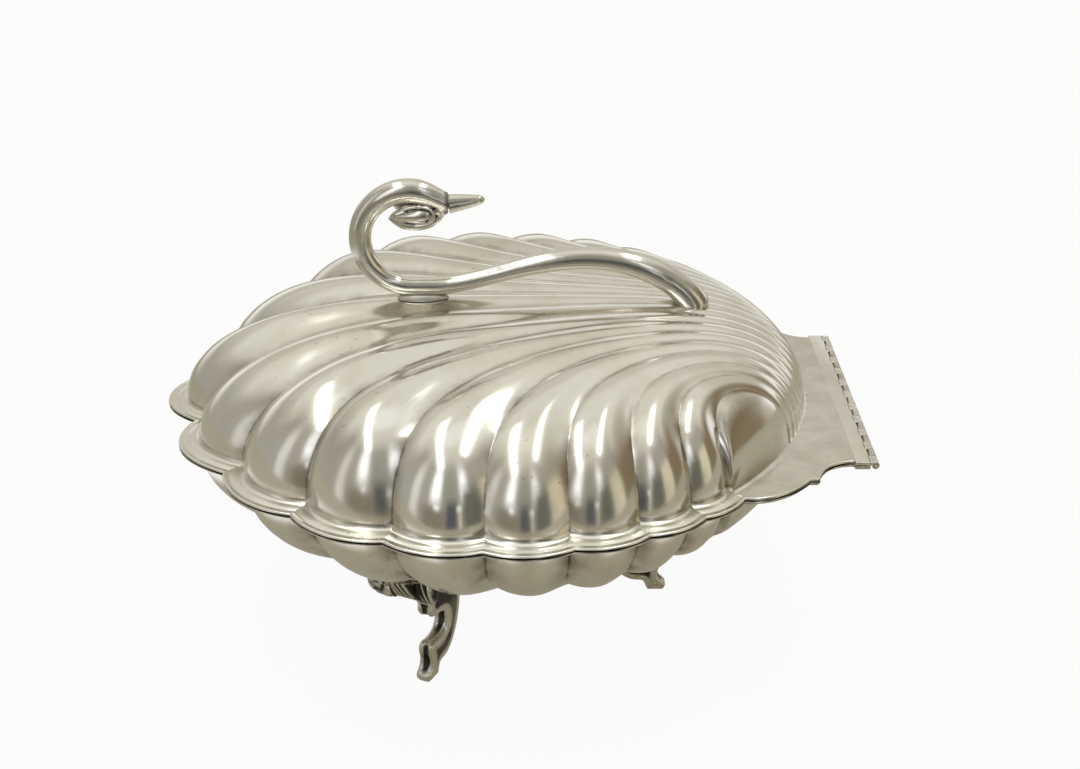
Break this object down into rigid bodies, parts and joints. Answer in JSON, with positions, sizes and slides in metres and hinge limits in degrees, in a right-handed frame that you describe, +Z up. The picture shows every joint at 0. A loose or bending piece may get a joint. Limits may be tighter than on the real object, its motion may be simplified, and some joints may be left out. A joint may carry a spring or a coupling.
{
  "type": "hinged scallop shell dish",
  "caption": "Hinged fluted scallop-shell server with domed lid, swan-neck handle and three scroll feet, in silver plate.",
  "frame": {"origin": "middle of the dish's length and width, on the surface it stands on", "axes": "+X towards the hinge, +Y across the dish along the hinge, +Z up"},
  "size_m": [0.2546, 0.2348, 0.1674],
  "materials": {
    "silver_plate": "polished silver plate with fine satin wear",
    "cast_bright": "polished casting, silver plated",
    "cast_dark": "cast and chased, tarnished dark in the recesses"
  },
  "bodies": {
    "dish": {"bowl_shell": "silver_plate", "bowl_hinge_strip": "silver_plate", "hinge_pin": "silver_plate", "foot_front_near": "cast_dark", "foot_front_far": "cast_dark", "foot_rear": "cast_dark"},
    "lid": {"lid_shell": "silver_plate", "lid_hinge_strip": "silver_plate", "swan_handle": "cast_bright", "swan_beak": "cast_bright", "handle_saddle": "cast_bright", "saddle_nut": "cast_dark", "tail_nut": "cast_dark"}
  },
  "joints": [
    {"name": "lid_hinge", "type": "hinge", "parent": "dish", "child": "lid", "pos_m": [0.12593, 0, 0.0825], "axis": [0, 1, 0], "range_deg": [0, 178]}
  ]
}
